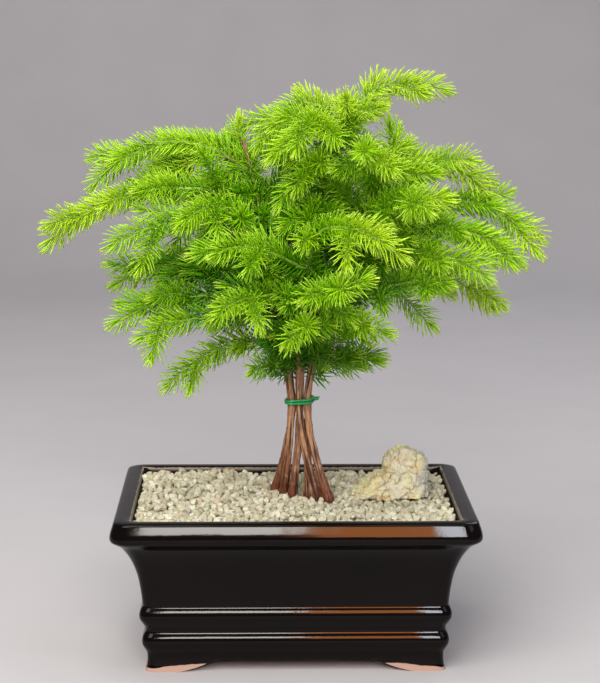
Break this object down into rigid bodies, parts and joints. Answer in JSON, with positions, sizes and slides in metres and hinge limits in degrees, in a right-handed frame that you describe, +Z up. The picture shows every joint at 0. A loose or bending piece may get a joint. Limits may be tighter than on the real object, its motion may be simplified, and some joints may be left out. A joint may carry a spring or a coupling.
{
  "type": "norfolk island pine bonsai",
  "caption": "Conifer bonsai with slim stems tied in a bundle, soft whorled needle boughs, gravel and a rock, in a glazed rectangular footed pot.",
  "frame": {"origin": "on the surface the pot stands on, under the middle of the pot", "axes": "+Z up, +X along the pot toward the end with the rock, -Y toward the front that the picture shows"},
  "size_m": [0.3081, 0.2579, 0.3519],
  "materials": {
    "black_glaze": "glossy near-black glaze, bare terracotta at the foot",
    "pale_gravel": "dry matt pebbles",
    "cream_rock": "rough, cream and ochre with a grey side",
    "green_plastic_wire": "plastic coat on soft wire",
    "bark": "thin flaking bark",
    "needles": "fresh yellow-green needles"
  },
  "bodies": {
    "root": {"bough_back_right_high": "bark", "bough_far_left": "bark", "bough_far_right": "bark", "bough_lower_left": "bark", "bough_right_droop": "bark", "bough_right_second": "bark", "bough_upper_left_arch": "bark", "foliage_back": "needles", "foliage_back_left": "needles", "foliage_back_left_high": "needles", "foliage_back_low": "needles", "foliage_back_right": "needles", "foliage_back_right_high": "needles", "foliage_back_top": "needles", "foliage_far_left": "needles", "foliage_far_right": "needles", "foliage_foot_left": "needles", "foliage_foot_right": "needles", "foliage_front_foot": "needles", "foliage_front_high": "needles", "foliage_front_left": "needles", "foliage_front_left_low": "needles", "foliage_front_low": "needles", "foliage_front_middle": "needles", "foliage_front_star": "needles", "foliage_front_top": "needles", "foliage_left_behind": "needles", "foliage_left_front_high": "needles", "foliage_left_rear_high": "needles", "foliage_left_second": "needles", "foliage_left_top": "needles", "foliage_lower_left": "needles", "foliage_lower_left_front": "needles", "foliage_lowest_left": "needles", "foliage_right_droop": "needles", "foliage_right_front": "needles", "foliage_right_front_high": "needles", "foliage_right_low": "needles", "foliage_right_second": "needles", "foliage_right_star_low": "needles", "foliage_right_third": "needles", "foliage_right_top": "needles", "foliage_top_front": "needles", "foliage_top_left_arch": "needles", "foliage_top_middle": "needles", "foliage_top_rear": "needles", "foliage_top_right_arch": "needles", "foliage_upper_left_arch": "needles", "foliage_upper_right": "needles", "gravel_bed": "pale_gravel", "pot": "black_glaze", "rock": "cream_rock", "stem_back": "bark", "stem_front": "bark", "stem_left": "bark", "stem_left_front": "bark", "stem_middle": "bark", "stem_right": "bark", "tie_wire": "green_plastic_wire"}
  },
  "joints": []
}
